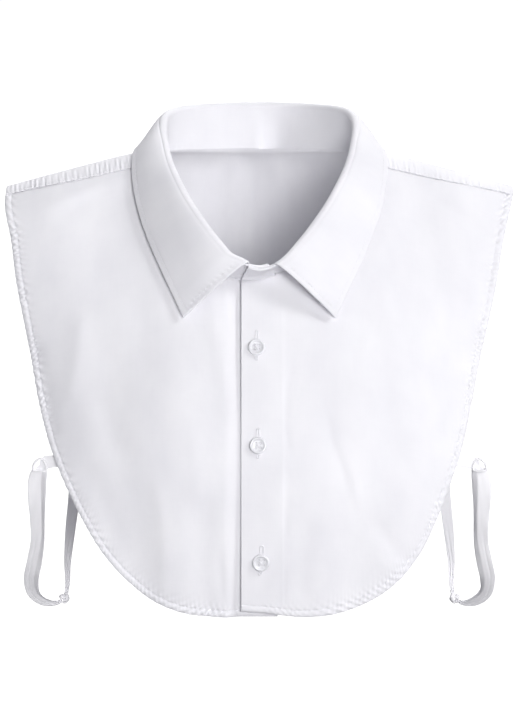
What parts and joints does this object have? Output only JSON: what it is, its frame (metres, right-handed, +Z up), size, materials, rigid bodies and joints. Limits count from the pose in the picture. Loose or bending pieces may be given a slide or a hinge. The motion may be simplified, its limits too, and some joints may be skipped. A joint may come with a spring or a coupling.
{
  "type": "detachable shirt collar",
  "caption": "Detachable shirt collar worn hollow: turned-down collar on a stand, short buttoned front, short back, open sides held by knotted tapes.",
  "frame": {"origin": "midway between the two side neck points, on the line of the shoulder ridge, where the wearer's neck and shoulders carry the collar", "axes": "+Z up, -Y toward the front (the placket side), +X toward the wearer's left"},
  "size_m": [0.3656, 0.2118, 0.3636],
  "materials": {
    "poplin": "plain-weave cotton, matte, white with a faint cool tint",
    "collar_cloth": "two layers of the same cotton, stiffened and topstitched",
    "tape_cloth": "soft flat narrow tape",
    "button_resin": "glossy white resin with a raised rim"
  },
  "bodies": {
    "root": {"back": "poplin", "front_left": "poplin", "front_right": "poplin", "collar_stand": "collar_cloth", "collar_fall": "collar_cloth", "button_1": "button_resin", "button_2": "button_resin", "button_3": "button_resin", "tape_left": "tape_cloth", "tape_right": "tape_cloth", "knot_left": "tape_cloth", "knot_right": "tape_cloth"}
  },
  "joints": []
}
